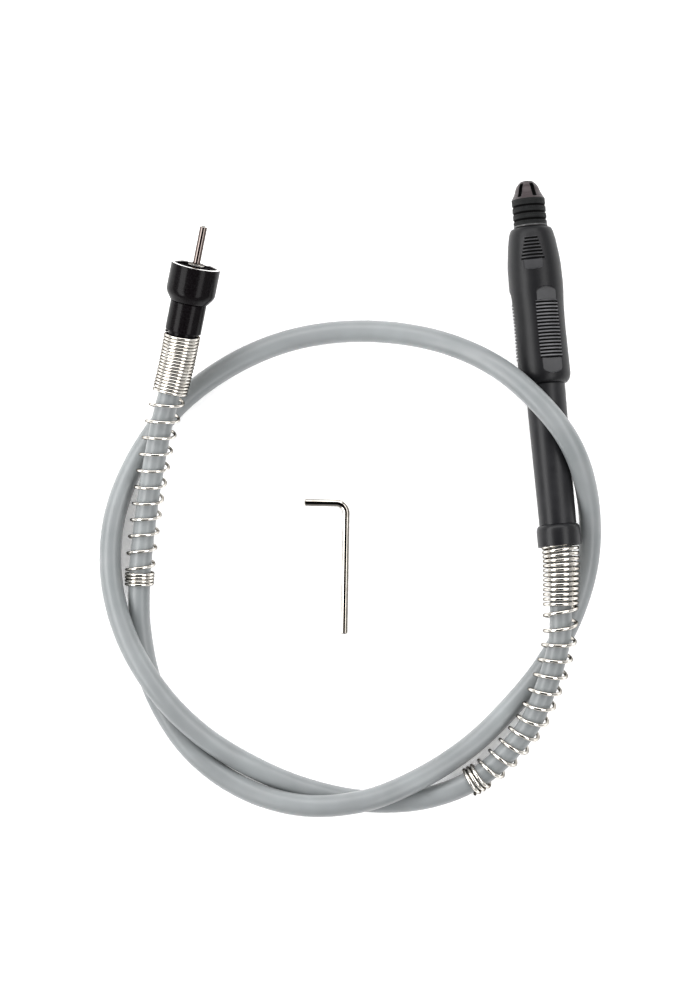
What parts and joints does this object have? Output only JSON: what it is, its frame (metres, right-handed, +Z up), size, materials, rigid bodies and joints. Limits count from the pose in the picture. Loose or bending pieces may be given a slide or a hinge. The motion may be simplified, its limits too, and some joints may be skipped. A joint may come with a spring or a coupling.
{
  "type": "rotary tool with flex shaft",
  "caption": "Rotary tool handpiece with a jawed chuck and ribbed grip, driven through a sprung flexible shaft from a screw-on coupling, with a hex key.",
  "frame": {"origin": "middle of the set in plan without its hose, on the table plane that it lies on", "axes": "+Z up from the table, +Y along the set towards the chuck and the drive pin, +X from the drive end towards the handpiece"},
  "size_m": [0.2189, 0.2773, 0.0418],
  "materials": {
    "black_oxide_steel": "black oxide, satin, knurled",
    "jaw_steel": "ground",
    "bearing_steel": "ground and polished",
    "cage_brass": "pressed",
    "spring_steel": "blued",
    "case_black": "satin black coating",
    "grip_rubber": "moulded, fine matt texture",
    "screw_steel": "zinc plated",
    "nickel_wire": "nickel plated wire",
    "hose_pvc": "extruded, satin",
    "liner_steel": "wound strip",
    "core_steel": "wound wire, greased",
    "gloss_black": "gloss black",
    "bush_bronze": "sintered",
    "pin_steel": "ground",
    "key_nickel": "nickel plated, satin"
  },
  "bodies": {
    "handpiece": {"handpiece_tube": "case_black", "grip_sleeve": "grip_rubber", "rear_collar": "case_black", "collar_screw": "screw_steel", "hose_ferrule": "jaw_steel", "front_bearing_outer": "bearing_steel", "rear_bearing_outer": "bearing_steel", "bearing_spacer": "jaw_steel", "retaining_ring": "spring_steel", "handpiece_spring": "nickel_wire", "hose_sheath": "hose_pvc", "hose_liner": "liner_steel", "flex_core": "core_steel", "drive_spring": "nickel_wire", "coupling_ferrule": "gloss_black", "ferrule_screw": "screw_steel", "drive_bush": "bush_bronze", "swivel_ring": "spring_steel"},
    "spindle": {"spindle": "jaw_steel", "front_bearing_inner": "bearing_steel", "rear_bearing_inner": "bearing_steel", "core_tip": "jaw_steel"},
    "front_balls": {"front_bearing_balls": "cage_brass"},
    "rear_balls": {"rear_bearing_balls": "cage_brass"},
    "jaw_carrier": {"jaw_plate": "jaw_steel"},
    "chuck": {"chuck_body": "black_oxide_steel"},
    "jaw_1": {"jaw_1": "jaw_steel"},
    "jaw_2": {"jaw_2": "jaw_steel"},
    "jaw_3": {"jaw_3": "jaw_steel"},
    "coupling_nut": {"coupling_nut": "gloss_black"},
    "drive_socket": {"drive_socket": "jaw_steel"},
    "drive_pin": {"drive_pin": "pin_steel"},
    "hex_key": {"hex_key": "key_nickel"}
  },
  "joints": [
    {"name": "spindle_spin", "type": "hinge", "parent": "handpiece", "child": "spindle", "pos_m": [0.0726, 0.03943, 0.01303], "axis": [-0.087, 0.9943, -0.061], "continuous": true},
    {"name": "front_balls_roll", "type": "hinge", "parent": "handpiece", "child": "front_balls", "pos_m": [0.0726, 0.03943, 0.01303], "axis": [-0.087, 0.9943, -0.061], "continuous": true},
    {"name": "rear_balls_roll", "type": "hinge", "parent": "handpiece", "child": "rear_balls", "pos_m": [0.0726, 0.03943, 0.01303], "axis": [-0.087, 0.9943, -0.061], "continuous": true},
    {"name": "chuck_turn", "type": "hinge", "parent": "spindle", "child": "jaw_carrier", "pos_m": [0.0726, 0.03943, 0.01303], "axis": [-0.087, 0.9943, -0.061], "range_deg": [0, 1318.79]},
    {"name": "chuck_advance", "type": "slide", "parent": "jaw_carrier", "child": "chuck", "axis": [-0.087, 0.9943, -0.061], "range_m": [0, 0.00275]},
    {"name": "jaw_1_open", "type": "slide", "parent": "jaw_carrier", "child": "jaw_1", "axis": [-0.0053, 0.0608, 0.9981], "range_m": [0, 0.001]},
    {"name": "jaw_2_open", "type": "slide", "parent": "jaw_carrier", "child": "jaw_2", "axis": [0.8654, 0.0451, -0.4991], "range_m": [0, 0.001]},
    {"name": "jaw_3_open", "type": "slide", "parent": "jaw_carrier", "child": "jaw_3", "axis": [-0.8601, -0.1059, -0.4991], "range_m": [0, 0.001]},
    {"name": "nut_turn", "type": "hinge", "parent": "handpiece", "child": "coupling_nut", "pos_m": [-0.07773, 0.05174, 0.02936], "axis": [0.2034, 0.9568, 0.2079], "continuous": true},
    {"name": "drive_spin", "type": "hinge", "parent": "handpiece", "child": "drive_socket", "pos_m": [-0.07977, 0.04217, 0.02728], "axis": [0.2034, 0.9568, 0.2079], "continuous": true},
    {"name": "pin_float", "type": "slide", "parent": "drive_socket", "child": "drive_pin", "axis": [0.2034, 0.9568, 0.2079], "range_m": [-0.007, 0.002]},
    {"name": "key_lift", "type": "slide", "parent": "handpiece", "child": "hex_key", "axis": [0, 0, 1], "range_m": [0, 0.06]}
  ],
  "couplings": [
    {"joint": "front_balls_roll", "follows": "spindle_spin", "ratio": 0.39474},
    {"joint": "rear_balls_roll", "follows": "spindle_spin", "ratio": 0.39474},
    {"joint": "drive_spin", "follows": "spindle_spin", "ratio": -1},
    {"joint": "chuck_advance", "follows": "chuck_turn", "m_per_rad": 0.00011937},
    {"joint": "jaw_1_open", "follows": "chuck_turn", "m_per_rad": 0.000043446},
    {"joint": "jaw_2_open", "follows": "chuck_turn", "m_per_rad": 0.000043446},
    {"joint": "jaw_3_open", "follows": "chuck_turn", "m_per_rad": 0.000043446}
  ]
}
